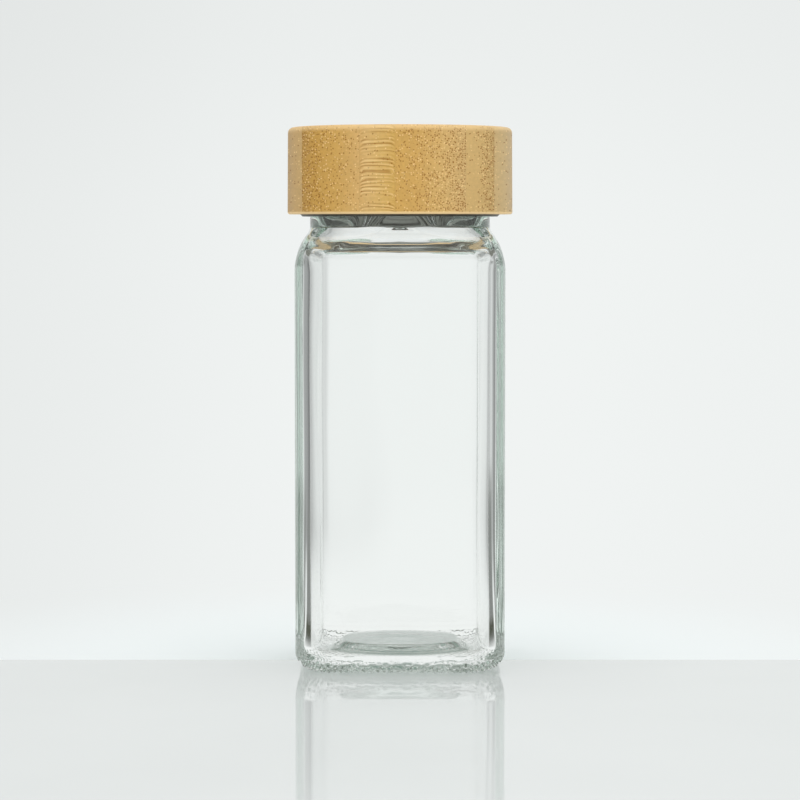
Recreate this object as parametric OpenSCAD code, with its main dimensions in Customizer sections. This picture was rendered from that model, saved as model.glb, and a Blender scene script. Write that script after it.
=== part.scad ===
// Square glass spice jar with a round screw cap of laminated bamboo.
// It stands on z = 0 with its axis on Z and its front towards -Y. Sizes are in millimetres.

/* [Glass body] */
// Width across the flat sides
body_w = 42.2; // [40:0.1:52]
// Radius of the upright corners
body_corner_r = 4.8; // [3:0.1:8]
// Height of the glass from the base to the rim
glass_h = 104.5; // [80:0.5:140]
// Thickness of the side walls
wall_t = 2.6; // [1.8:0.1:3]
// Radius of the cavity's upright corners
cavity_corner_r = 3.6; // [2:0.1:6]
// Radius of the turn from the sides into the shoulder
shoulder_r = 14.2; // [8:0.1:16]
// Radius of the hollow turn from the shoulder into the neck
neck_turn_r = 2; // [1.4:0.1:4]
// Radius of the turn from the cavity's sides into its shoulder
cavity_shoulder_r = 4; // [3:0.1:8]
// Radius of the hollow turn from the cavity's shoulder into the bore
cavity_turn_r = 14.8; // [8:0.1:16]

/* [Glass base] */
// Radius of the turn from the sides into the base
heel_r = 4.5; // [2.5:0.1:5.5]
// Radius of the turn from the cavity's sides into its floor
cavity_heel_r = 3; // [2:0.1:5]
// Thickness of the glass under the cavity's floor
floor_t = 2.7; // [2.2:0.1:5]
// Width of the raised middle of the base, at its foot
punt_w = 28.2; // [20:0.2:30]
// Radius of the raised middle's upright corners, at its foot
punt_corner_r = 9; // [6:0.1:10]
// Height of the raised middle above the cavity's floor
punt_h = 2.3; // [0.8:0.1:3]
// Diameter of the hollow under the base
hollow_d = 20; // [14:0.2:26]
// Height of the hollow under the base
hollow_h = 0.8; // [0.4:0.1:2]

/* [Glass neck] */
// Diameter of the neck between its threads
neck_d = 35.2; // [30:0.1:37]
// Thickness of the neck's wall
neck_wall_t = 3.5; // [2.2:0.1:4]
// Height above the neck's foot at which its bore becomes straight
bore_low = 4.9; // [2:0.1:6]
// How far the plain bead under the cap stands out of the neck, and the radius of its top edge
bead_out = 0.85; // [0.4:0.05:1.2]
// Height of the bead's straight side
bead_h = 2.8; // [2:0.1:3.5]
// Radius of the rim's two rounded edges
rim_r = 0.8; // [0.4:0.05:1]

/* [Screw thread] */
// Rise of the cap in one turn
pitch = 4.2; // [3.6:0.1:4.6]
// How far the thread stands out of the neck
thread_h = 1.2; // [0.8:0.05:1.4]
// Turns of thread on the neck
neck_turns = 1.1; // [0.8:0.05:1.3]
// Turns of thread in the liner
liner_turns = 1.1; // [0.8:0.05:1.2]
// Gap along the axis between the two threads' pressing flanks
flank_gap = 0.3; // [0.2:0.05:0.5]
// Gap from a thread's crest to the wall that it faces
crest_gap = 0.45; // [0.3:0.05:0.6]

/* [Cap] */
// Thickness of the wood round the liner, at the lower edge
cap_wall_t = 2.55; // [2:0.05:5]
// How much less the cap's radius is at its top
cap_taper = 0.1; // [0:0.05:0.5]
// Height of the cap
cap_h = 17.7; // [17:0.1:22]
// Thickness of the wood over the liner
cap_top_t = 3.3; // [2:0.1:5]
// Radius of the rounded top edge
cap_edge_r = 1.1; // [0.5:0.1:2]
// Bare glass between the cap's lower edge and the shoulder
neck_show = 2.7; // [2:0.1:6]
// Greatest width of the first strip, which forms the cap's -X edge
strip_1_w = 3.35; // [2:0.05:7]
// Distance from the cap's axis to the third strip's -X side
strip_3_x = 8; // [5:0.1:11]
// Width of the third strip
strip_3_w = 7; // [4:0.1:12]
// Width of the fifth strip
strip_5_w = 5.8; // [4:0.1:7]
// Greatest width of the sixth strip, which forms the cap's +X edge
strip_6_w = 4.15; // [2:0.05:5]

/* [Liner and seal] */
// Thickness of the liner's wall
liner_wall_t = 1.2; // [1:0.05:1.6]
// Thickness of the liner's top
liner_top_t = 1.2; // [0.8:0.1:2]
// How far the liner's edge stands out under the wood
liner_show = 0.45; // [0:0.05:1]
// Gap between the liner and the wood, filled with glue
glue_gap = 0.05; // [0.02:0.01:0.15]
// Thickness of the sealing disc
seal_t = 1; // [0.6:0.1:2]
// Gap between the disc's edge and the liner's wall
seal_gap = 0.5; // [0.2:0.05:1]

/* [Hidden] */

// Steps on a corner, on a heel and on each half of a shoulder
corner_steps = 12;
heel_steps = 6;
shoulder_steps = 8;
// Steps in a whole turn of thread, and the share of a turn over which its ends fade out
turn_steps = 60;
fade_turns = 0.06;
// How deep a thread is rooted in its wall
root_depth = 0.4;
// Ledge that a lofted surface leaves where it meets a turned one
ledge = 0.08;
// Length by which a cutter passes the face that it opens
past = 1;
$fn = 96;

// The body
body_half = body_w / 2;
cavity_half = body_half - wall_t;
neck_r = neck_d / 2;
bead_r = neck_r + bead_out;
mouth_r = neck_r - neck_wall_t;

// The levels, from the rim up to the cap's top and down to the shoulder's foot
seal_z = glass_h;
liner_under_z = seal_z + seal_t;
wood_under_z = liner_under_z + liner_top_t;
cap_top_z = wood_under_z + cap_top_t;
cap_low_z = cap_top_z - cap_h;
liner_low_z = cap_low_z - liner_show;
neck_low_z = cap_low_z - neck_show;
shoulder_z = neck_low_z - turn_rise(body_half, bead_r + ledge, shoulder_r, neck_turn_r);
cavity_top_z = neck_low_z + bore_low;
cavity_shoulder_z = cavity_top_z
    - turn_rise(cavity_half, mouth_r + ledge, cavity_shoulder_r, cavity_turn_r);

// The raised middle and the hollow under it come in this much for each millimetre of height
punt_slope = 1.35;
hollow_slope = 1;

// The threads: widths at the wall and at the crest, and their places
neck_thread_w = [2, 0.9];
liner_thread_w = [1.5, 0.7];
thread_r = neck_r + thread_h;
liner_bore_r = thread_r + crest_gap;
liner_thread_r = neck_r + crest_gap;
liner_r = liner_bore_r + liner_wall_t;
thread_top_gap = 2;
thread_low_z = glass_h - thread_top_gap - neck_turns * pitch;
// Flank to flank, the liner's thread lies this far below the neck's
thread_drop = thread_reach(neck_thread_w, neck_r, thread_r, liner_thread_r)
    + liner_thread_w[1] / 2 + flank_gap;
// The liner's thread starts clear above the bead and above the liner's own edge
liner_thread_z = max(neck_low_z + bead_h + bead_out, liner_low_z)
    + liner_thread_w[0] / 2 + flank_gap;
liner_thread_start = (liner_thread_z - thread_low_z + thread_drop) / pitch;

// The cap, and the strips' sides from the -X edge to the +X edge
socket_r = liner_r + glue_gap;
cap_r = socket_r + cap_wall_t;
cap_chamfer = 0.3;
strip_sides = [
    -cap_r - past, strip_1_w - cap_r, -strip_3_x, strip_3_w - strip_3_x,
    cap_r - strip_6_w - strip_5_w, cap_r - strip_6_w, cap_r + past,
];

glass_tint = [0.82, 0.9, 0.87, 0.45];
bamboo_pale = [0.77, 0.66, 0.46];
bamboo_gold = [0.79, 0.63, 0.36];

// Half a thread's width at radius r, on a flank from the wall to the crest
function thread_reach(w, wall_r, crest_r, r) =
    (w[0] + (w[1] - w[0]) * (r - wall_r) / (crest_r - wall_r)) / 2;

// Two arcs carry a side of half width low in to a radius top: the steepest angle, and the height they take
function turn_angle(low, top, r1, r2) = acos(1 - (low - top) / (r1 + r2));
function turn_rise(low, top, r1, r2) = (r1 + r2) * sin(turn_angle(low, top, r1, r2));

// A ring is [height, half width, corner radius]. These are the rings of a rounded heel.
function heel_rings(z, half, corner, r) = [
    for (i = [0:heel_steps])
        let (a = 90 * i / heel_steps)
        [z + r * (1 - cos(a)), half - r * (1 - sin(a)), corner]
];

// A corner's radius grows to the neck's as the side comes in from half width low to radius top,
// mostly close to the neck
function blended_corner(half, low, top, corner) =
    let (share = sqrt(max(0, half - top) / (low - top)))
    min(corner * share + top * (1 - share), half - ledge / 2);

// The rings of a shoulder: an arc that turns in and a second one that turns back up
function shoulder_rings(z, low, corner, top, r1, r2) =
    let (a = turn_angle(low, top, r1, r2), rise = turn_rise(low, top, r1, r2))
    [
        for (i = [0:2 * shoulder_steps])
            let (
                first = i <= shoulder_steps,
                t = first ? a * i / shoulder_steps : a * (2 - i / shoulder_steps),
                half = first ? low - r1 * (1 - cos(t)) : top + r2 * (1 - cos(t)),
                height = first ? r1 * sin(t) : rise - r2 * sin(t)
            )
            [z + height, half, blended_corner(half, low, top, corner)]
    ];

// The points of one ring, a rounded square
function ring_points(ring) =
    let (c = ring[1] - ring[2])
    [
        for (q = [0:3], i = [0:corner_steps])
            let (a = 90 * (q + i / corner_steps), s = 45 + 90 * q)
            [
                c * sign(cos(s)) + ring[2] * cos(a),
                c * sign(sin(s)) + ring[2] * sin(a),
                ring[0],
            ]
    ];

// A closed skin through rings with equally many points, given from the lowest up
module skin(loops) {
    n = len(loops[0]);
    last = (len(loops) - 1) * n;
    sides = [
        for (k = [0:len(loops) - 2], i = [0:n - 1])
            let (a = k * n + i, b = k * n + (i + 1) % n)
            each [[a, a + n, b], [b, a + n, b + n]]
    ];
    foot = [for (i = [0:n - 1]) i];
    head = [for (i = [n - 1:-1:0]) last + i];
    polyhedron(points = [for (loop = loops) each loop], faces = concat([foot, head], sides), convexity = 6);
}

module loft(rings) {
    skin([for (ring = rings) ring_points(ring)]);
}

// A helical ridge that grows out of a wall at wall_r to crest_r, inwards or outwards.
// w is its width at the wall and at the crest, and it starts after the given number of turns.
module ridge(wall_r, crest_r, w, z, start, turns) {
    out = sign(crest_r - wall_r);
    steps = ceil(turns * turn_steps);
    fade_steps = fade_turns * turn_steps;
    sections = [
        for (i = [0:steps])
            let (
                turn = start + turns * i / steps,
                a = 360 * turn,
                fade = min(1, i / fade_steps, (steps - i) / fade_steps),
                crest = wall_r + (crest_r - wall_r) * fade - out * ledge * (1 - fade),
                root = wall_r - out * root_depth,
                h = z + pitch * turn,
                section = [
                    [root, h - w[0] / 2], [crest, h - w[1] / 2],
                    [crest, h + w[1] / 2], [root, h + w[0] / 2],
                ]
            )
            [
                for (k = out > 0 ? [3:-1:0] : [0:3])
                    [section[k][0] * cos(a), section[k][0] * sin(a), section[k][1]]
            ]
    ];
    skin(sections);
}

// The raised middle of the cavity's floor, rooted below it
module punt() {
    foot = punt_w / 2;
    top = foot - punt_h * punt_slope;
    loft([
        [floor_t - past, foot, punt_corner_r],
        [floor_t, foot, punt_corner_r],
        [floor_t + punt_h, top, punt_corner_r * top / foot],
    ]);
}

// A cutter for the hollow under the base, lengthened below it
module hollow() {
    foot = hollow_d / 2;
    translate([0, 0, -past])
        cylinder(
            r1 = foot + past * hollow_slope, r2 = foot - hollow_h * hollow_slope, h = hollow_h + past
        );
}

// The glass outside, and the space inside it
module jar_outside() {
    loft(concat(
        heel_rings(0, body_half, body_corner_r, heel_r),
        shoulder_rings(shoulder_z, body_half, body_corner_r, bead_r + ledge, shoulder_r, neck_turn_r)
    ));
    rotate_extrude()
        polygon(concat(
            [
                [0, shoulder_z], [neck_r, shoulder_z], [bead_r, neck_low_z - neck_turn_r],
            ],
            [
                for (a = [0:15:90])
                    [neck_r + bead_out * cos(a), neck_low_z + bead_h + bead_out * sin(a)]
            ],
            [for (a = [0:15:90]) [neck_r - rim_r * (1 - cos(a)), glass_h - rim_r * (1 - sin(a))]],
            [[0, glass_h]]
        ));
    ridge(neck_r, thread_r, neck_thread_w, thread_low_z, 0, neck_turns);
}

module jar_inside() {
    difference() {
        loft(concat(
            heel_rings(floor_t, cavity_half, cavity_corner_r, cavity_heel_r),
            shoulder_rings(
                cavity_shoulder_z, cavity_half, cavity_corner_r, mouth_r + ledge,
                cavity_shoulder_r, cavity_turn_r
            )
        ));
        punt();
    }
    rotate_extrude()
        polygon(concat(
            [[0, shoulder_z], [mouth_r, shoulder_z]],
            [for (a = [0:15:90]) [mouth_r + rim_r * (1 - cos(a)), glass_h - rim_r * (1 - sin(a))]],
            [[mouth_r + rim_r, glass_h + past], [0, glass_h + past]]
        ));
}

module glass_jar() {
    color(glass_tint)
        difference() {
            jar_outside();
            jar_inside();
            hollow();
        }
}

// The dark inner cap with the cap's thread, glued into the wood
module threaded_liner() {
    color([0.2, 0.2, 0.18]) {
        difference() {
            rotate_extrude()
                polygon([
                    [0, liner_low_z], [liner_r - liner_show, liner_low_z], [liner_r, cap_low_z],
                    [liner_r, wood_under_z], [0, wood_under_z],
                ]);
            translate([0, 0, liner_low_z - past])
                cylinder(r = liner_bore_r, h = liner_under_z - liner_low_z + past);
        }
        ridge(
            liner_bore_r, liner_thread_r, liner_thread_w,
            thread_low_z - thread_drop, liner_thread_start, liner_turns
        );
    }
}

// The disc that the liner presses on the rim
module seal_disc() {
    color([0.93, 0.93, 0.9])
        translate([0, 0, seal_z])
        cylinder(r = liner_bore_r - seal_gap, h = seal_t);
}

// The turned cap before it is parted along its glue lines
module turned_cap() {
    top_r = cap_r - cap_taper;
    rotate_extrude()
        polygon(concat(
            [[socket_r, cap_low_z], [cap_r - cap_chamfer, cap_low_z], [cap_r, cap_low_z + cap_chamfer]],
            [for (a = [0:15:90]) [top_r - cap_edge_r * (1 - cos(a)), cap_top_z - cap_edge_r * (1 - sin(a))]],
            [[0, cap_top_z], [0, wood_under_z], [socket_r, wood_under_z]]
        ));
}

module bamboo_strip(i) {
    color(i % 2 == 0 ? bamboo_gold : bamboo_pale)
        intersection() {
            turned_cap();
            translate([strip_sides[i - 1], -cap_r - past, cap_low_z - past])
                cube([strip_sides[i] - strip_sides[i - 1], 2 * (cap_r + past), cap_h + 2 * past]);
        }
}

glass_jar();
threaded_liner();
seal_disc();
bamboo_strip(1);  // bamboo_strip_1
bamboo_strip(2);  // bamboo_strip_2
bamboo_strip(3);  // bamboo_strip_3
bamboo_strip(4);  // bamboo_strip_4
bamboo_strip(5);  // bamboo_strip_5
bamboo_strip(6);  // bamboo_strip_6
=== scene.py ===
import bpy
import numpy as np
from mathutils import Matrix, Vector


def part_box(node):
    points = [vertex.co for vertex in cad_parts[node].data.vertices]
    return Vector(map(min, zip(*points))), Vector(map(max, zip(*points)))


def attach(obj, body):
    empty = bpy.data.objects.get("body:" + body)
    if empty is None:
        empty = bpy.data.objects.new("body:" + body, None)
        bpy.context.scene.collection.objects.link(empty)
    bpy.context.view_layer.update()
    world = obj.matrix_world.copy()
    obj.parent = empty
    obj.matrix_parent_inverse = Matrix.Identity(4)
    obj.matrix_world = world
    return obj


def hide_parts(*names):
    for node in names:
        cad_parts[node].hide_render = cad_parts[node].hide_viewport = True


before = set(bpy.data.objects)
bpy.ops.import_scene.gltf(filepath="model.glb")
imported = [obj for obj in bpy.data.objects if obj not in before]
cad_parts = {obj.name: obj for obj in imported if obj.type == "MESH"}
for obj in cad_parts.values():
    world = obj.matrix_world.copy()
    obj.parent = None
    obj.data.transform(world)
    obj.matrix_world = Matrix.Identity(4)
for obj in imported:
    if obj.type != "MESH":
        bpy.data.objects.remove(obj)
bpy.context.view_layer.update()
mm = 0.001  # the settings below are in millimetres and degrees
print("frame loaded:", len(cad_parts), "nodes")


def linear(red, green, blue):
    # a colour as it looks on a screen, 0 to 255, turned into the linear values that a shader takes
    screen = np.array([red, green, blue]) / 255
    low, high = screen / 12.92, ((screen + 0.055) / 1.055) ** 2.4
    return (*np.where(screen <= 0.04045, low, high).tolist(), 1.0)


# Shader maths: a wire is one output of a node, and sums on wires add Math nodes


class Wire:
    def __init__(self, tree, socket=None):
        self.tree = tree
        self.socket = socket

    def node(self, kind, settings=None, inputs=None, output=0):
        # adds a node: its settings first, then the value or the link of each socket named
        made = self.tree.nodes.new("ShaderNode" + kind)
        for name, value in (settings or {}).items():
            if name == "stops":
                self.fillRamp(made.color_ramp, value)
            else:
                setattr(made, name, value)
        for name, value in (inputs or {}).items():
            if isinstance(value, Wire):
                self.tree.links.new(value.socket, made.inputs[name])
            else:
                made.inputs[name].default_value = value
        return Wire(self.tree, made.outputs[output])

    def fillRamp(self, ramp, stops):
        while len(ramp.elements) < len(stops):
            ramp.elements.new(1)
        for element, (place, colour) in zip(ramp.elements, stops):
            element.position = place
            element.color = colour if isinstance(colour, tuple) else (colour, colour, colour, 1)

    def math(self, operation, *values):
        return self.node("Math", {"operation": operation}, dict(enumerate(values)))

    def __add__(self, other):
        return self.math("ADD", self, other)

    def __radd__(self, other):
        return self.math("ADD", other, self)

    def __sub__(self, other):
        return self.math("SUBTRACT", self, other)

    def __rsub__(self, other):
        return self.math("SUBTRACT", other, self)

    def __mul__(self, other):
        return self.math("MULTIPLY", self, other)

    def __rmul__(self, other):
        return self.math("MULTIPLY", other, self)

    def __truediv__(self, other):
        return self.math("DIVIDE", self, other)

    def __pow__(self, other):
        return self.math("POWER", self, other)

    def __lt__(self, other):
        return self.math("LESS_THAN", self, other)

    def __gt__(self, other):
        return self.math("GREATER_THAN", self, other)

    def size(self):
        return self.math("ABSOLUTE", self)

    def step(self, low, high):
        # 0 below low, 1 above high, and smooth between them
        inputs = {"Value": self, "From Min": low, "From Max": high}
        return self.node("MapRange", {"interpolation_type": "SMOOTHSTEP"}, inputs)

    def ramp(self, stops):
        # a colour that goes through the stops as the wire goes from 0 to 1
        return self.node("ValToRGB", {"stops": stops}, {"Fac": self})

    def blend(self, first, second):
        # the first colour where the wire is 0, the second where it is 1
        return self.node("Mix", {"data_type": "RGBA"}, {0: self, 6: first, 7: second}, 2)

    def tinted(self, colour):
        # a colour times another
        return self.node("Mix", {"data_type": "RGBA", "blend_type": "MULTIPLY"}, {0: 1.0, 6: self, 7: colour}, 2)

    def scaled(self, scale):
        # a vector times another, axis by axis
        return self.node("VectorMath", {"operation": "MULTIPLY"}, {0: self, 1: scale})

    def moved(self, offset):
        return self.node("VectorMath", {"operation": "ADD"}, {0: self, 1: offset})

    def length(self):
        return self.node("VectorMath", {"operation": "LENGTH"}, {0: self}, 1)

    def part(self, axis):
        return self.node("SeparateXYZ", {}, {0: self}, axis)

    def noise(self, scale, detail=2.0, roughness=0.5):
        inputs = {"Vector": self, "Scale": scale, "Detail": detail, "Roughness": roughness}
        return self.node("TexNoise", {}, inputs)

    def cells(self, spacing, output):
        return self.node("TexVoronoi", {}, {"Vector": self, "Scale": 1 / spacing}, output)

    def bump(self, strength, distance):
        inputs = {"Height": self, "Strength": strength, "Distance": distance}
        return self.node("Bump", {}, inputs)


def newMaterial(name):
    # an empty material, the place on the object in millimetres, and the output node
    material = bpy.data.materials.new(name)
    material.use_nodes = True
    tree = material.node_tree
    tree.nodes.clear()
    place = Wire(tree).node("TexCoord", {}, {}, "Object").scaled((1 / mm, 1 / mm, 1 / mm))
    return material, place, tree.nodes.new("ShaderNodeOutputMaterial")


def finishMaterial(output, surface, volume=None):
    surface.tree.links.new(surface.socket, output.inputs["Surface"])
    if volume:
        volume.tree.links.new(volume.socket, output.inputs["Volume"])


# Surfaces worked out on grids


def smoothStep(value, low, high):
    share = np.clip((value - low) / (high - low), 0, 1)
    return share * share * (3 - 2 * share)


def gridQuads(here):
    beside = np.roll(here, -1, axis=1)
    return np.stack([here[:-1], beside[:-1], beside[1:], here[1:]], axis=2).reshape(-1, 4)


def fan(ring, pole):
    return np.stack([np.roll(ring, -1), ring, np.full(len(ring), pole)], axis=1)


def halfSeam(fine, coarse):
    # joins a ring to the next one, which has half as many points, by three triangles for each of those
    even, odd = fine[0::2], fine[1::2]
    nextEven, nextCoarse = np.roll(even, -1), np.roll(coarse, -1)
    sides = [(even, odd, coarse), (odd, nextCoarse, coarse), (odd, nextEven, nextCoarse)]
    return np.concatenate([np.stack(side, axis=1) for side in sides])


def skin(name, *grids):
    # A closed skin over grids of points in millimetres, each given as its x, y and z. Each row is a ring
    # that closes on itself. A second grid goes on from the first with half as many points in a ring.
    # The first and the last ring are drawn together to a point at their middle.
    points = [np.stack(grid, axis=2).reshape(-1, 3) for grid in grids]
    poles = [points[0][:grids[0][0].shape[1]].mean(0), points[-1][-grids[-1][0].shape[1]:].mean(0)]
    starts = np.cumsum([0] + [len(block) for block in points])
    here = [np.arange(a, b).reshape(grid[0].shape) for a, b, grid in zip(starts, starts[1:], grids)]
    quads = np.concatenate([gridQuads(block) for block in here])
    triangles = [fan(here[0][0], starts[-1]), fan(here[-1][-1], starts[-1] + 1)[:, ::-1]]
    triangles += [halfSeam(below[-1], above[0]) for below, above in zip(here, here[1:])]
    triangles = np.concatenate(triangles)
    points = np.concatenate([*points, poles])
    # the volume under the skin is negative when the faces point inwards
    corners = points[np.concatenate([quads[:, :3], quads[:, [0, 2, 3]], triangles])]
    volume = np.einsum("ij,ij->i", corners[:, 0], np.cross(corners[:, 1], corners[:, 2])).sum()
    if volume < 0:
        quads, triangles = quads[:, ::-1], triangles[:, ::-1]
    mesh = bpy.data.meshes.new(name)
    mesh.vertices.add(len(points))
    mesh.vertices.foreach_set("co", (points * mm).ravel())
    mesh.loops.add(quads.size + triangles.size)
    mesh.loops.foreach_set("vertex_index", np.concatenate([quads.ravel(), triangles.ravel()]))
    mesh.polygons.add(len(quads) + len(triangles))
    firstCorners = np.concatenate([np.arange(len(quads)) * 4, quads.size + np.arange(len(triangles)) * 3])
    mesh.polygons.foreach_set("loop_start", firstCorners)
    mesh.polygons.foreach_set("use_smooth", np.ones(len(firstCorners), bool))
    mesh.update(calc_edges=True)
    mesh.validate()
    piece = bpy.data.objects.new(name, mesh)
    bpy.context.scene.collection.objects.link(piece)
    return piece


def arc(centreR, centreZ, radius, start, end, steps):
    # points on an arc of a profile, from one angle to another, in degrees from outwards towards up
    angle = np.radians(np.linspace(start, end, steps))
    return list(zip(centreR + radius * np.cos(angle), centreZ + radius * np.sin(angle)))


def straight(first, last, steps):
    # points along a straight stretch of a profile, or stations along a straight wall, without its ends
    share = np.linspace(0, 1, steps + 2)[1:-1, None]
    return list(map(tuple, np.array(first) * (1 - share) + np.array(last) * share))


def threadHeight(theta, z, thread):
    # How far a screw thread stands out at an angle and a level: 1 on its crest and 0 on the wall.
    # The ridge climbs by the pitch each turn, and it fades out over the share of a turn at its ends.
    height = np.zeros_like(z)
    first = np.floor(thread["start"])
    for turn in np.arange(first - 1, first + 4):
        along = theta / (2 * np.pi) + turn - thread["start"]
        inside = np.minimum(along, thread["turns"] - along)
        level = thread["low"] + thread["pitch"] * (along + thread["start"])
        away = np.abs(z - level)
        ridge = 1 - smoothStep(away, thread["crest"] / 2, thread["wall"] / 2)
        height = np.maximum(height, ridge * smoothStep(inside, 0, thread["fade"]))
    return height


# The glass jar

glass = {
    "wall": 2.6,
    "cornerRadius": 4.8,
    "cavityCornerRadius": 3.6,
    "shoulderRadius": 14.2,
    "neckTurnRadius": 2.0,
    "cavityShoulderRadius": 4.0,
    "cavityTurnRadius": 14.8,
    "boreLow": 4.9,
    "heelRadius": 4.5,
    "cavityHeelRadius": 3.0,
    "floor": 2.7,
    "middleHalf": 14.1,
    "middleCorner": 9.0,
    "middleHeight": 2.3,
    "middleSlope": 1.35,
    "hollowRadius": 10.0,
    "hollowHeight": 0.8,
    "hollowSlope": 1.0,
    "neckShow": 2.7,
    "beadOut": 0.85,
    "beadHeight": 2.8,
    "neckRadius": 17.6,
    "mouthRadius": 14.1,
    "rimRadius": 0.8,
    "threadOut": 1.2,
    "threadTopGap": 2.0,
    "outerWave": 0.012,
    "innerWave": 0.06,
    "seamOut": 0.08,
    "seamWidth": 0.35,
    "seamAngle": -45.0,
    "pimpleSpacing": 1.25,
    "pimpleRadius": 0.62,
    "pimpleHeight": 0.9,
    "pimpleTop": 3.4,
    "smoothMiddle": (5, 9),
    "tint": (0.8, 0.94, 0.86, 1.0),
    "tintDensity": 13.0,
    "columnsOnFlat": 36,
    "columnsOnCorner": 18,
}
thread = {"pitch": 4.2, "turns": 1.1, "start": 0.0, "wall": 2.2, "crest": 0.7, "fade": 0.06}

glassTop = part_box("glass_jar")[1].z / mm
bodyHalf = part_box("glass_jar")[1].x / mm
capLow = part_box("bamboo_strip_4")[0].z / mm
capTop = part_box("bamboo_strip_4")[1].z / mm
neckLow = capLow - glass["neckShow"]
beadTop = neckLow + glass["beadHeight"] + glass["beadOut"]
thread["low"] = glassTop - glass["threadTopGap"] - thread["turns"] * thread["pitch"]


def roundedSquare(theta, half, corner):
    # The distance from the middle to a square with rounded corners, in the direction theta.
    # On a flat it is the half width over the cosine; in a corner it is where the ray meets the arc.
    far = np.maximum(np.abs(np.cos(theta)), np.abs(np.sin(theta)))
    near = np.minimum(np.abs(np.cos(theta)), np.abs(np.sin(theta)))
    core = half - corner
    flat = half / far
    middle = core * (far + near)
    arcHit = middle + np.sqrt(np.maximum(middle**2 - 2 * core**2 + corner**2, 0))
    return np.where(flat * near <= core, flat, arcHit)


def columnAngles(perFlat, perCorner):
    # Directions round the jar, evenly spaced along the body's flats and round its corners' arcs.
    core, corner = bodyHalf - glass["cornerRadius"], glass["cornerRadius"]
    across = np.linspace(-core, core, perFlat, endpoint=False)
    turn = np.radians(np.linspace(0, 90, perCorner, endpoint=False))
    flat = np.arctan2(across, bodyHalf)
    bend = np.arctan2(core + corner * np.sin(turn), core + corner * np.cos(turn))
    quarter = np.concatenate([flat, bend])
    return np.concatenate([quarter + np.pi / 2 * i for i in range(4)])


def shoulderStations(low, corner, top, outerRadius, innerRadius, head, steps):
    # Two arcs carry the side in to the neck: one turns it in and the other turns it up again, up to the
    # level head. The corner's radius grows until the ring is round, mostly close to the neck.
    angle = np.arccos(1 - (low - top) / (outerRadius + innerRadius))
    rise = (outerRadius + innerRadius) * np.sin(angle)
    turn = np.concatenate([np.linspace(0, angle, steps), np.linspace(angle, 0, steps)[1:]])
    first = np.arange(len(turn)) < steps
    half = np.where(first, low - outerRadius * (1 - np.cos(turn)), top + innerRadius * (1 - np.cos(turn)))
    height = np.where(first, outerRadius * np.sin(turn) - rise, -innerRadius * np.sin(turn))
    share = np.sqrt(np.maximum(half - top, 0) / (low - top))
    return [(head + h, s, corner * c + top * (1 - c)) for h, s, c in zip(height, half, share)]


def heelStations(low, half, corner, radius, steps):
    # a quarter arc from the bottom, at level low, up to the side
    angle = np.radians(np.linspace(0, 90, steps))
    return [(low + radius * (1 - np.cos(a)), half - radius * (1 - np.sin(a)), corner) for a in angle]


def rounds(profile):
    # stations of round rings from points (radius, level) of a profile
    return [(z, r, r) for r, z in profile]


def middleStations(level, foot, corner, slope, height):
    # the raised middle of the base, from its foot up to its flat top, with soft turns between them
    top = foot - height * slope
    share = np.linspace(0, 1, 14)
    rise = share - 0.09 * np.sin(2 * np.pi * share)
    half = foot + (top - foot) * share
    side = [(level + height * r, h, corner * h / foot) for r, h in zip(rise, half)]
    return side + [(level + height, top * s, corner * top / foot * s) for s in np.linspace(0.9, 0.02, 7)]


def glassStations():
    # The jar's outline as stations (level, half width, corner radius), in two runs: from the middle of the
    # underside out to the heel, and from there up the outside, over the rim, and down the inside to the
    # middle of its floor. The second value is the number of stations of the second run on the outside.
    neckRadius, mouth, rimRadius = glass["neckRadius"], glass["mouthRadius"], glass["rimRadius"]
    beadRadius = neckRadius + glass["beadOut"]
    cavityHalf = bodyHalf - glass["wall"]
    hollow = glass["hollowRadius"]
    corner, cavityCorner = glass["cornerRadius"], glass["cavityCornerRadius"]

    under = middleStations(0, hollow, hollow, glass["hollowSlope"], glass["hollowHeight"])[::-1]
    heel = heelStations(0, bodyHalf, corner, glass["heelRadius"], 30)
    bearing = straight((0, hollow, hollow), heel[0], 24)
    lowHeel = 26
    base = under + bearing + heel[:lowHeel]

    turns = glass["shoulderRadius"], glass["neckTurnRadius"]
    shoulder = shoulderStations(bodyHalf, corner, beadRadius, *turns, neckLow, 20)
    side = straight(heel[-1], shoulder[0], 34)
    bead = straight((beadRadius, neckLow), (beadRadius, neckLow + glass["beadHeight"]), 6)
    bead += arc(neckRadius, neckLow + glass["beadHeight"], glass["beadOut"], 0, 78, 8)
    neckTop = glassTop - rimRadius
    neck = straight((neckRadius + 0.12, beadTop), (neckRadius, beadTop + 0.5), 2)
    neck += straight((neckRadius, beadTop + 0.5), (neckRadius, neckTop), 60)
    rim = arc(neckRadius - rimRadius, neckTop, rimRadius, 0, 90, 8)
    rim += arc(mouth + rimRadius, neckTop, rimRadius, 90, 180, 8)
    cavityTurns = glass["cavityShoulderRadius"], glass["cavityTurnRadius"]
    boreLow = neckLow + glass["boreLow"]
    inner = shoulderStations(cavityHalf, cavityCorner, mouth, *cavityTurns, boreLow, 24)[::-1]
    bore = straight((mouth, neckTop), (mouth, boreLow), 10)
    innerHeel = heelStations(glass["floor"], cavityHalf, cavityCorner, glass["cavityHeelRadius"], 16)[::-1]
    innerSide = straight(inner[-1], innerHeel[0], 34)
    middle = [glass[size] for size in ("middleHalf", "middleCorner", "middleSlope", "middleHeight")]
    middle = middleStations(glass["floor"], *middle)
    # the cavity's flat floor lies between its heel and the foot of the raised middle
    ledge = straight(innerHeel[-1], middle[0], 3)
    outside = heel[lowHeel:] + side + shoulder + rounds(bead + neck)
    inside = rounds(bore) + inner + innerSide + innerHeel + ledge + middle
    return np.array(base), np.array(outside + rounds(rim) + inside), len(outside)


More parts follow.
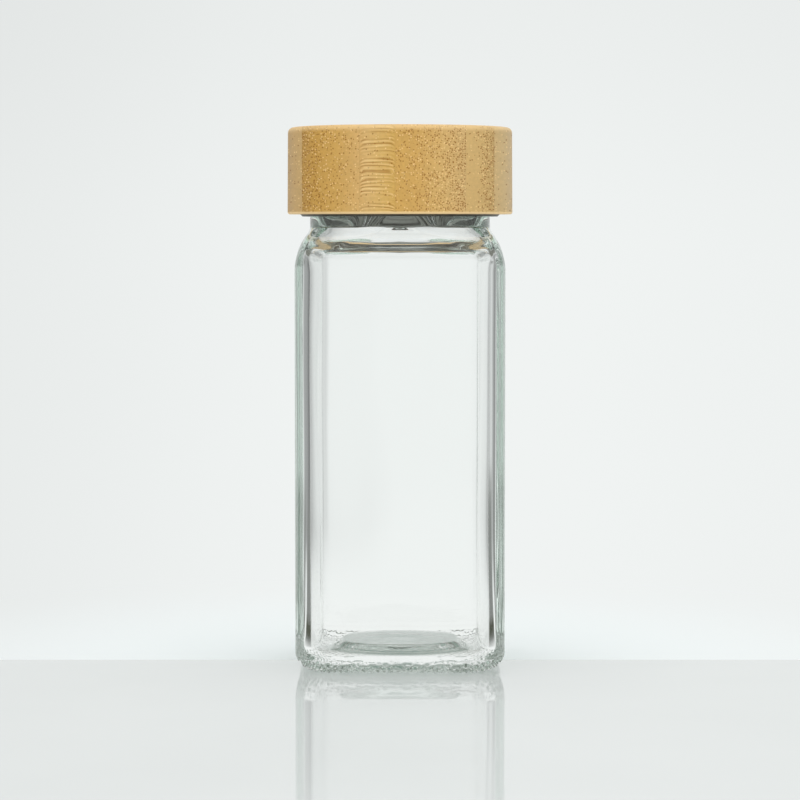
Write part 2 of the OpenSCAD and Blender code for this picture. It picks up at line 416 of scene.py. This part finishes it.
def pimples(x, y, spacing, radius):
    # Round pimples on a jittered lattice: 1 on top of each and 0 between them. Each cell of the lattice
    # holds one, moved off its middle by sines of the cell's numbers, and the highest of nine cells counts.
    height = np.zeros_like(x)
    column, row = np.floor(x / spacing), np.floor(y / spacing)
    for i, j in np.ndindex(3, 3):
        c, r = column + i - 1, row + j - 1
        aside = 0.5 + 0.25 * np.sin(c * 12.99 + r * 78.23)
        along = 0.5 + 0.25 * np.sin(c * 39.43 + r * 11.14 + 1.7)
        away = np.hypot(x - (c + aside) * spacing, y - (r + along) * spacing)
        height = np.maximum(height, 1 - smoothStep(away, 0, radius))
    return height


def makeBase(stations, theta):
    # the underside and the low part of the heel, with pimples that are deepest near the corners
    radius = roundedSquare(theta, stations[:, 1:2], stations[:, 2:3])
    x, y = radius * np.cos(theta), radius * np.sin(theta)
    z = np.repeat(stations[:, :1], theta.shape[1], axis=1)
    toCorner = smoothStep(np.minimum(np.abs(x), np.abs(y)), 6, 9)
    depth = 0.5 + 0.5 * toCorner * smoothStep(z, 0.1, 0.5)
    depth *= 1 - smoothStep(z, 0.6 * glass["pimpleTop"], glass["pimpleTop"])
    depth *= smoothStep(np.hypot(x, y), *glass["smoothMiddle"])
    valley = 1 - pimples(x, y, glass["pimpleSpacing"], glass["pimpleRadius"])
    return x, y, z + depth * valley * glass["pimpleHeight"]


def makeWalls(stations, theta, outsideRows):
    # the sides, the shoulder and the neck, outside and inside
    z = np.repeat(stations[:, :1], theta.shape[1], axis=1)
    radius = roundedSquare(theta, stations[:, 1:2], stations[:, 2:3])
    outside = (np.arange(len(stations)) < outsideRows)[:, None]
    # the thread grows out of the neck's wall
    onNeck = outside & (z > beadTop + 0.1)
    radius += onNeck * glass["threadOut"] * threadHeight(theta, z, thread)
    # blown glass is a little uneven, more so inside: slow waves up the sides and round them
    body = smoothStep(z, 5, 20) * (1 - smoothStep(z, 70, 82))
    wave = (
        np.sin(z / 7.3 + 2 * np.sin(theta * 2)) + np.sin(z / 17 + theta * 3 + 1)
        + 0.7 * np.sin(theta * 9 + z / 31) + 0.6 * np.sin(theta * 5 - z / 11 + 2)
    )
    radius -= body * np.where(outside, glass["outerWave"] * (1 + wave / 3), glass["innerWave"] * wave)
    # the mould's two halves meet in a fine seam down two opposite corners
    for side in (0, np.pi):
        angle = (theta - np.radians(glass["seamAngle"]) - side + np.pi) % (2 * np.pi) - np.pi
        across = np.abs(angle) * radius
        seam = smoothStep(z, 3, 6) * (1 - smoothStep(z, neckLow + 2, neckLow + 3))
        radius += outside * seam * glass["seamOut"] * (1 - smoothStep(across, 0, glass["seamWidth"]))
    return radius * np.cos(theta), radius * np.sin(theta), z


def makeGlass():
    base, walls, outsideRows = glassStations()
    coarse = columnAngles(glass["columnsOnFlat"], glass["columnsOnCorner"])
    fine = columnAngles(2 * glass["columnsOnFlat"], 2 * glass["columnsOnCorner"])
    return skin("jarGlass", makeBase(base, fine[None, :]), makeWalls(walls, coarse[None, :], outsideRows))


def glassShader():
    # Clear glass with a green tint that shows where light goes a long way through it. Its skin is a
    # little uneven, and rays that look for a lamp pass straight through it.
    material, place, output = newMaterial("clearGlass")
    wire = Wire(material.node_tree)
    height = place.noise(0.12, 2)
    clear = wire.node("BsdfPrincipled", {}, {
        "Base Color": height.ramp([(0, (0.997, 1.0, 0.997, 1.0)), (1, (1.0, 1.0, 1.0, 1.0))]),
        "Roughness": 0.0,
        "IOR": 1.5,
        "Transmission Weight": 1.0,
        "Normal": height.bump(0.5, 0.02 * mm),
    })
    through = wire.node("BsdfTransparent", {}, {"Color": (0.98, 0.99, 0.985, 1)})
    shadowRay = wire.node("LightPath", {}, {}, "Is Shadow Ray")
    surface = wire.node("MixShader", {}, {0: shadowRay, 1: clear, 2: through})
    tint = {"Color": glass["tint"], "Density": glass["tintDensity"]}
    finishMaterial(output, surface, wire.node("VolumeAbsorption", {}, tint))
    return material


jarGlass = makeGlass()
jarGlass.data.materials.append(glassShader())
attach(jarGlass, "jar")
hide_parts("glass_jar")
print("glass jar:", len(jarGlass.data.polygons), "faces")

# The dark liner with the cap's thread

liner = {
    "wall": 1.2,
    "top": 1.2,
    "show": 0.45,
    "edgeRound": 0.25,
    "gap": 0.45,
    "threadDrop": 1.5,
    "threadStart": 4.8,
    "colour": linear(62, 58, 48),
    "paleColour": linear(74, 70, 58),
    "ringHighlightColour": linear(200, 200, 192),
    "ringScale": 3.0,
    "roughness": 0.42,
}


def makeLiner():
    # The profile runs from the middle of the ceiling down the threaded bore, round the lower edge and up
    # the outside to the middle of the top. The thread stands inwards from the bore.
    low, high = (corner.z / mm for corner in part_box("threaded_liner"))
    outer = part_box("threaded_liner")[1].x / mm
    bore = outer - liner["wall"]
    ceiling = high - liner["top"]
    edge = liner["edgeRound"]
    profile = [(bore * s, ceiling) for s in np.linspace(0.02, 0.97, 10)]
    profile += arc(bore - edge, ceiling - edge, edge, 90, 0, 5)
    profile += straight((bore, ceiling - edge), (bore, low + edge), 96)
    profile += arc(bore + edge, low + edge, edge, 180, 270, 5)
    profile += [(outer - liner["show"], low), (outer, low + liner["show"])]
    profile += straight((outer, low + liner["show"]), (outer, high - edge), 10)
    profile += arc(outer - edge, high - edge, edge, 0, 90, 5)
    profile += [(outer * s, high) for s in np.linspace(0.95, 0.02, 8)]
    radius, z = (np.array(profile)[:, axis:axis + 1] for axis in (0, 1))
    theta = np.radians(np.arange(0, 360, 2))[None, :]
    z = np.repeat(z, theta.shape[1], axis=1)
    boreThread = dict(thread, wall=1.7, crest=0.5, low=thread["low"] - liner["threadDrop"])
    boreThread["start"] = (neckLow + liner["threadStart"] - boreThread["low"]) / thread["pitch"]
    onBore = (radius < bore + 0.01) & (z < ceiling - 0.3) & (z > low + 0.3)
    standing = bore - glass["neckRadius"] - liner["gap"]
    radius = radius - onBore * standing * threadHeight(theta, z, boreThread)
    return skin("capLiner", (radius * np.cos(theta), radius * np.sin(theta), z))


def linerShader():
    # dark plastic, with pale rings painted round its bore as a highlight where the thread would catch the light
    material, place, output = newMaterial("darkPlastic")
    grain = place.noise(9, 3, 0.6)
    patches = place.noise(0.5, 2).step(0.35, 0.7)
    plastic = patches.blend(liner["colour"], liner["paleColour"])
    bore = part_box("threaded_liner")[1].x / mm - liner["wall"]
    inside = 1 - place.scaled((1, 1, 0)).length().step(bore + 0.2, bore + 0.4)
    # the pale rings in the bore are a painted highlight
    rings = place.scaled((0.05, 0.05, 1)).noise(liner["ringScale"], 2).step(0.4, 0.6)
    rings = inside * rings * place.part(2).step(capLow - 0.1, capLow + 0.2)
    surface = grain.node("BsdfPrincipled", {}, {
        "Base Color": rings.blend(plastic, liner["ringHighlightColour"]),
        "Roughness": liner["roughness"] + 0.12 * grain,
        "Specular IOR Level": 0.4,
        "Normal": grain.bump(0.15, 0.05 * mm),
    })
    finishMaterial(output, surface)
    return material


capLiner = makeLiner()
capLiner.data.materials.append(linerShader())
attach(capLiner, "lid")
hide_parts("threaded_liner")
print("liner:", len(capLiner.data.polygons), "faces")

# The soft sealing disc

seal = {"edgeRound": 0.25, "clear": 0.03, "colour": linear(236, 236, 230), "agedColour": linear(226, 226, 218)}


def makeSeal():
    # a flat disc with rounded edges, just clear of the liner's ceiling
    lowCorner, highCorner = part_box("seal_disc")
    low, high, outer = lowCorner.z / mm, highCorner.z / mm - seal["clear"], highCorner.x / mm
    edge = seal["edgeRound"]
    profile = [(inward, low) for inward in np.linspace(0.3, outer - edge, 30)]
    profile += arc(outer - edge, low + edge, edge, -80, 0, 5)
    profile += arc(outer - edge, high - edge, edge, 0, 90, 6)
    profile += [(outer * s, high) for s in np.linspace(0.9, 0.02, 6)]
    radius, z = (np.array(profile)[:, axis:axis + 1] for axis in (0, 1))
    theta = np.radians(np.arange(0, 360, 3))[None, :]
    z = np.repeat(z, theta.shape[1], axis=1)
    return skin("sealDisc", (radius * np.cos(theta), radius * np.sin(theta), z))


def sealShader():
    material, place, output = newMaterial("whiteFoam")
    pores = place.cells(0.2, "Distance")
    surface = pores.node("BsdfPrincipled", {}, {
        "Base Color": place.noise(0.8, 3).blend(seal["colour"], seal["agedColour"]),
        "Roughness": 0.7 + 0.1 * pores,
        "Normal": pores.bump(0.2, 0.05 * mm),
    })
    finishMaterial(output, surface)
    return material


sealDisc = makeSeal()
sealDisc.data.materials.append(sealShader())
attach(sealDisc, "seal")
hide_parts("seal_disc")
print("sealing disc:", len(sealDisc.data.polygons), "faces")

# The bamboo strips: each has its own tones across its width, and its own fibre ends. The tones are partly the
# strips' own colour and partly painted shade, darker towards the lid's left and right sides.
# Tones and dots are given as stops from the strip's left side, 0, to its right side, 1.

bamboo = {
    "fibreStretch": 0.035,
    "dotSpacing": 0.5,
    "fineSpacing": 0.42,
    "lightSpacing": 0.46,
    "dotColour": linear(146, 90, 16),
    "lightColour": linear(243, 211, 150),
    "edgeHighlightColour": linear(250, 216, 160),
    "glueColour": linear(150, 115, 66),
    "roughness": 0.5,
    "strips": {
        "bamboo_strip_1": {
            "tonesAndShade": [(0, (186, 152, 104)), (0.5, (201, 165, 109)), (1, (204, 168, 110))],
            "dots": [(0, 0.03), (1, 0.06)],
            "fine": [(0, 0.1), (1, 0.1)],
        },
        "bamboo_strip_2": {
            "tonesAndShade": [(0, (188, 144, 70)), (0.2, (201, 155, 74)), (0.6, (208, 164, 88)), (1, (214, 173, 108))],
            "dots": [(0, 0.5), (0.2, 0.45), (0.4, 0.3), (1, 0.15)],
            "fine": [(0, 1.0), (0.16, 0.9), (0.4, 0.5), (1, 0.15)],
        },
        "bamboo_strip_3": {
            "tonesAndShade": [(0, (210, 168, 102)), (0.2, (214, 175, 110)), (0.6, (213, 174, 102)), (1, (207, 165, 87))],
            "dots": [(0, 0.2), (0.12, 0.02), (0.88, 0.02), (1, 0.25)],
            "fine": [(0, 0.1), (1, 0.1)],
            "waves": 0.78,
        },
        "bamboo_strip_4": {
            "tonesAndShade": [(0, (206, 163, 88)), (0.3, (206, 163, 91)), (0.7, (210, 172, 107)), (1, (207, 172, 114))],
            "dots": [(0, 0.18), (0.3, 0.38), (0.7, 0.5), (0.9, 0.7), (1, 0.95)],
            "fine": [(0, 0.25), (0.3, 0.4), (0.7, 0.65), (1, 1.0)],
        },
        "bamboo_strip_5": {
            "tonesAndShade": [(0, (210, 175, 114)), (0.5, (208, 173, 112)), (1, (197, 163, 104))],
            "dots": [(0, 0.05), (0.45, 0.1), (0.7, 0.35), (1, 0.9)],
            "fine": [(0, 0.05), (0.4, 0.15), (0.6, 0.85), (1, 1.0)],
        },
        "bamboo_strip_6": {
            "tonesAndShade": [(0, (207, 176, 122)), (0.6, (205, 177, 127)), (1, (198, 171, 130))],
            "dots": [(0, 0.08), (1, 0.03)],
            "fine": [(0, 0.2), (0.3, 0.1), (1, 0.1)],
        },
    },
}


def fibreEnds(fibres, spacing, density, small, large):
    # Dots where fibres end on the surface: one in each cell of a pattern, and only in the share of the
    # cells that density gives. A dot fades from small to large, in shares of the spacing.
    kept = fibres.cells(spacing, "Color").part(0) < density
    return (1 - fibres.cells(spacing, "Distance").step(small, large)) * kept


def nodeLines(place, across, spacing):
    # Where a knot of the cane was cut, level lines cross the strip and drop away at its two sides.
    # The values are how dark and how light the line is here.
    aside = (2 * across - 1).size()
    drop = 0.55 * aside**6
    wobble = place.scaled((0.1, 0.1, 1)).noise(0.7, 2)
    phase = (place.part(2) + drop) / spacing + 2.2 * wobble
    angle = phase * 2 * np.pi
    swing = angle.math("SINE", angle)
    strength = place.scaled((0.12, 0.1, 1)).noise(0.75, 2, 0.6).step(0.38, 0.62)
    strength = strength * (1 - 0.75 * aside.step(0.84, 1))
    return swing.step(0.35, 0.95) * strength, (0 - swing).step(0.3, 0.95) * strength


def bambooShader(name, strip):
    # Solid bamboo with its fibres along Y. The fibres' ends are dark and light dots on the front and the
    # back, and long streaks on the sides and the top.
    material, place, output = newMaterial(name)
    lowX, highX = (corner.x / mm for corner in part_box(name))
    across = (place.part(0) - lowX) / (highX - lowX)
    # the strip's own tone, with painted shade towards the lid's left and right sides
    toneAndShade = across.ramp([(x, linear(*colour)) for x, colour in strip["tonesAndShade"]])
    along = place.scaled((1, bamboo["fibreStretch"], 1))
    fibres = along.moved(0.4 * place.scaled((1, 0.3, 1)).noise(0.6, 1))
    dots = fibreEnds(fibres, bamboo["dotSpacing"], across.ramp(strip["dots"]), 0.11, 0.37)
    fine = across.ramp(strip["fine"])
    fineDots = fibreEnds(fibres.moved((3.1, 0, 5.7)), bamboo["fineSpacing"], fine, 0.2, 0.47)
    lightDots = fibreEnds(fibres.moved((7.3, 0, 3.1)), bamboo["lightSpacing"], 0.16 + 0.74 * fine, 0.12, 0.4)
    streak = along.noise(1.6, 4, 0.65)
    cloud = place.scaled((1, 0.15, 1)).noise(0.2, 2)
    colour = toneAndShade.tinted(0.75 + 0.36 * streak + 0.14 * cloud)
    colour = (0.9 * lightDots).blend(colour, bamboo["lightColour"])
    colour = (0.8 * fineDots).blend(colour, bamboo["dotColour"])
    colour = (0.85 * dots).blend(colour, bamboo["dotColour"])
    height = 0.3 * streak - 0.6 * dots
    if "waves" in strip:
        dark, light = nodeLines(place, across, strip["waves"])
        colour = (0.6 * dark).blend(colour, bamboo["dotColour"])
        colour = (0.6 * light).blend(colour, bamboo["lightColour"])
        height = height + 0.5 * light
    # the glue lines at the strip's sides, and painted highlights along the lower edge and, fainter, near the top
    glue = 1 - across.step(0, 0.012) * (1 - across).step(0, 0.012)
    colour = (0.2 * glue).blend(colour, bamboo["glueColour"])
    level = place.part(2)
    # a painted highlight: a bright line along the lower edge and a fainter band near the top
    edgeHighlight = 0.9 * (1 - level.step(capLow + 0.3, capLow + 0.6)) + 0.5 * level.step(capTop - 1.4, capTop - 0.4)
    colour = edgeHighlight.blend(colour, bamboo["edgeHighlightColour"])
    surface = across.node("BsdfPrincipled", {}, {
        "Base Color": colour,
        "Roughness": bamboo["roughness"] + 0.12 * streak,
        "Specular IOR Level": 0.3,
        "Normal": height.bump(0.35, 0.08 * mm),
    })
    finishMaterial(output, surface)
    return material


for name, strip in bamboo["strips"].items():
    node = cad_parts[name]
    node.data.materials.clear()
    node.data.materials.append(bambooShader(name, strip))
print("bamboo strips:", len(bamboo["strips"]))

# The floor, the air round the jar, the lamps and the camera

studio = {
    "floorSize": 3.0,
    "nearColour": linear(230, 234, 233),
    "farColour": linear(237, 243, 243),
    "air": linear(240, 243, 242),
    "edgeY": 1.4,
    "boardRoughness": 0.04,
    "underEdge": (13, 17),
    "shadeUnderJar": (0.2, 0.27, 0.235, 1.0),
    "glowRoundJar": (0.9, 0.92, 0.91, 1.0),
    "paintedDark": linear(66, 69, 54),
    "paintedShade": linear(130, 133, 130),
    "diffuseLevel": 0.58,
    "wallTop": (0.22, 0.29),
    "ceiling": (0.5, 0.65),
    "paintedShadeAbove": linear(112, 113, 104),
    # How bright the air is painted in a direction, in degrees to the right of straight on, for rays that the
    # glass has bent, and for rays that were mirrored inside the glass; the darker levels are painted shade. The
    # first repeat every 90 degrees.
    "bentLevels": [
        (-45, 0.5), (-30, 0.52), (-22, 0.66), (-17, 0.84), (-9, 0.78), (-5.5, 0.86), (-2.5, 0.97), (0, 1.0),
        (18, 1.0), (24, 0.9), (30, 0.62), (45, 0.45),
    ],
    "trappedLevels": [
        (-180, 0.9), (-95, 0.8), (-82, 0.17), (-75, 0.3), (-66, 0.4), (-47, 0.42), (-33, 0.5), (-20, 0.85),
        (0, 0.95), (20, 0.9), (33, 0.4), (47, 0.27), (58, 0.4), (68, 0.62), (76, 0.8), (90, 0.5), (100, 0.9),
        (180, 0.9),
    ],
}


def makeFloor():
    half = studio["floorSize"] / 2
    mesh = bpy.data.meshes.new("floor")
    mesh.from_pydata([(-half, -half, 0), (half, -half, 0), (half, half, 0), (-half, half, 0)], [], [(0, 1, 2, 3)])
    floor = bpy.data.objects.new("floor", mesh)
    bpy.context.scene.collection.objects.link(floor)
    floor.data.materials.append(floorShader())


def rayKind(wire, output):
    return wire.node("LightPath", {}, {}, output)


def seenRay(wire):
    # 1 for a ray from the camera, a mirror or clear glass, 0 for the soft light between surfaces
    kinds = [rayKind(wire, kind) for kind in ("Is Camera Ray", "Is Glossy Ray", "Is Transmission Ray")]
    return wire.math("MINIMUM", kinds[0] + kinds[1] + kinds[2], 1.0)


def airColour(wire, aside, across, forward, level):
    # White air that falls off a little to one side. Rays that the glass has bent find it painted darker towards
    # the jar's sides, and those mirrored inside the glass darker still: painted shade that the glass shows as
    # dark edges. Level is 1 for a ray near the horizon, the only kind that meets this painted shade.
    turn = wire.math("ARCTAN2", across, forward) * (180 / np.pi)
    folded = wire.math("WRAP", turn, 45.0, -45.0) / 90 + 0.5
    # painted shade in the air, seen only by rays that the glass has bent
    paintedShade = folded.ramp([(angle / 90 + 0.5, bright) for angle, bright in studio["bentLevels"]])
    inside = (turn / 360 + 0.5).ramp([(angle / 360 + 0.5, bright) for angle, bright in studio["trappedLevels"]])
    bent = (rayKind(wire, "Transmission Depth") > 0.5) * level
    mirrored = rayKind(wire, "Glossy Depth") > 0.5
    paintedShade = bent.blend((1.0, 1.0, 1.0, 1.0), mirrored.blend(paintedShade, inside))
    fallOff = 1 - 0.07 * (0 - aside).step(0.03, 0.33) - 0.015 * aside.step(0.1, 0.3)
    return paintedShade.tinted(studio["air"]).tinted(fallOff)


def floorShader():
    # A glossy board whose far edge lies under the jar, and a pale sweep behind it. Both fade into the
    # colour of the air at a distance.
    material, place, output = newMaterial("paleFloor")
    wire = Wire(material.node_tree)
    near = 1 - place.part(1).step(studio["edgeY"] - 0.4, studio["edgeY"] + 0.4)
    cloud = place.noise(0.012, 3)
    board = wire.node("BsdfPrincipled", {}, {
        "Base Color": (0.9 + 0.1 * cloud).ramp([(0, 0.0), (1, studio["nearColour"])]),
        "Roughness": studio["boardRoughness"],
        "IOR": 1.38,
    })
    sweep = wire.node("BsdfPrincipled", {}, {"Base Color": studio["farColour"], "Roughness": 0.6, "IOR": 1.3})
    both = wire.node("MixShader", {}, {0: near, 1: sweep, 2: board})
    away = place.length()
    # rays that the glass has bent find the board glowing bright round the jar, a painted light, and dark under
    # its middle, a painted shadow
    bent = rayKind(wire, "Transmission Depth") > 0.5
    under = away.step(*studio["underEdge"]).blend(studio["shadeUnderJar"], studio["glowRoundJar"])
    under = wire.node("Emission", {}, {"Color": under, "Strength": 1.0})
    both = wire.node("MixShader", {}, {0: bent, 1: both, 2: under})
    fade = wire.math("MAXIMUM", away.step(170, 420), (1 - near) * away.step(40, 140))
    aside = place.part(0) / (300 + 0.45 * place.part(1).size())
    colour = airColour(wire, aside, place.part(0), place.part(1), away.step(120, 300))
    air = wire.node("Emission", {}, {"Color": colour, "Strength": 1.0})
    whole = wire.node("MixShader", {}, {0: fade * seenRay(wire), 1: both, 2: air})
    # rays that were mirrored inside the glass find the floor painted dark some way off to the sides, but not
    # where
    # they leave straight off a corner: a painted shade that the glass shows as dark bands
    turn = (wire.math("ARCTAN2", place.part(0), place.part(1)) * (180 / np.pi)).size()
    dark = bent * (rayKind(wire, "Glossy Depth") > 0.5) * away.step(30, 60) * (1 - away.step(300, 500))
    dark = dark * turn.step(24, 32) * (1 - turn.step(48, 54) * (1 - turn.step(66, 72)))
    dark = dark * (1 - turn.step(145, 160))
    # painted dark colours, glowing only for rays that the glass has bent
    paintedDark = (away.step(50, 80) * (1 - away.step(80, 110))).blend(studio["paintedShade"], studio["paintedDark"])
    paintedDark = wire.node("Emission", {}, {"Color": paintedDark, "Strength": 1.0})
    finishMaterial(output, wire.node("MixShader", {}, {0: dark, 1: whole, 2: paintedDark}))
    return material


def makeWorld():
    world = bpy.data.worlds.new("air")
    world.use_nodes = True
    world.node_tree.nodes.clear()
    wire = Wire(world.node_tree)
    ray = wire.node("TexCoord", {}, {}, "Generated")
    flat = 1 - ray.part(2).size().step(0.17, 0.28)
    seen = airColour(wire, ray.part(0) * 2.13, ray.part(0), ray.part(1), flat)
    upwards = 1 - 0.05 * ray.part(2).step(-0.02, 0.09)
    # The white wall behind the jar ends at a height. Rays that the glass bends up see a painted shade over it,
    # and the white ceiling over that.
    bent = rayKind(wire, "Transmission Depth") > 0.5
    over = bent * ray.part(2).step(*studio["wallTop"]) * (1 - ray.part(2).step(*studio["ceiling"]))
    seen = over.blend(seen.tinted(upwards), studio["paintedShadeAbove"])
    level = studio["diffuseLevel"]
    colour = seenRay(wire).blend((level, level, level, 1), seen)
    background = wire.node("Background", {}, {"Color": colour, "Strength": 1.0})
    output = world.node_tree.nodes.new("ShaderNodeOutputWorld")
    world.node_tree.links.new(background.socket, output.inputs["Surface"])
    bpy.context.scene.world = world


lamps = {
    "frontLeft": {"place": (-0.7, -1.1, 0.7), "size": 0.8, "power": 4.6},
    "frontRight": {"place": (0.8, -1.0, 0.5), "size": 0.8, "power": 4.2},
    "above": {"place": (0.0, 0.1, 1.3), "size": 1.0, "power": 4.2},
    "behind": {"place": (0.2, 1.2, 0.7), "size": 0.9, "power": 3.6},
}


def makeLamp(name, lamp):
    light = bpy.data.lights.new(name, "AREA")
    light.shape = "DISK"
    light.size = lamp["size"]
    light.energy = lamp["power"]
    holder = bpy.data.objects.new(name, light)
    bpy.context.scene.collection.objects.link(holder)
    holder.location = lamp["place"]
    aim = Vector((0, 0, 0.06)) - holder.location
    holder.rotation_euler = aim.to_track_quat("-Z", "Y").to_euler()
    holder.visible_camera = False
    holder.visible_transmission = False
    holder.visible_glossy = False


camera = {"distance": 600.0, "height": 90.3, "pitch": 3.45, "lens": 131.3}


def makeCamera():
    data = bpy.data.cameras.new("camera")
    data.lens = camera["lens"]
    data.sensor_width = 36
    data.clip_start = 0.01
    data.clip_end = 20
    holder = bpy.data.objects.new("camera", data)
    bpy.context.scene.collection.objects.link(holder)
    holder.location = Vector((0, -camera["distance"], camera["height"])) * mm
    holder.rotation_euler = (np.radians(90 - camera["pitch"]), 0, 0)
    bpy.context.scene.camera = holder


makeFloor()
makeWorld()
for name, lamp in lamps.items():
    makeLamp(name, lamp)
makeCamera()
bpy.context.scene.view_settings.view_transform = "Standard"
# light goes round many times inside thick glass before it leaves
bpy.context.scene.cycles.max_bounces = 32
bpy.context.scene.cycles.glossy_bounces = 24
bpy.context.scene.cycles.transmission_bounces = 24
print("floor, air, lamps and camera in place")
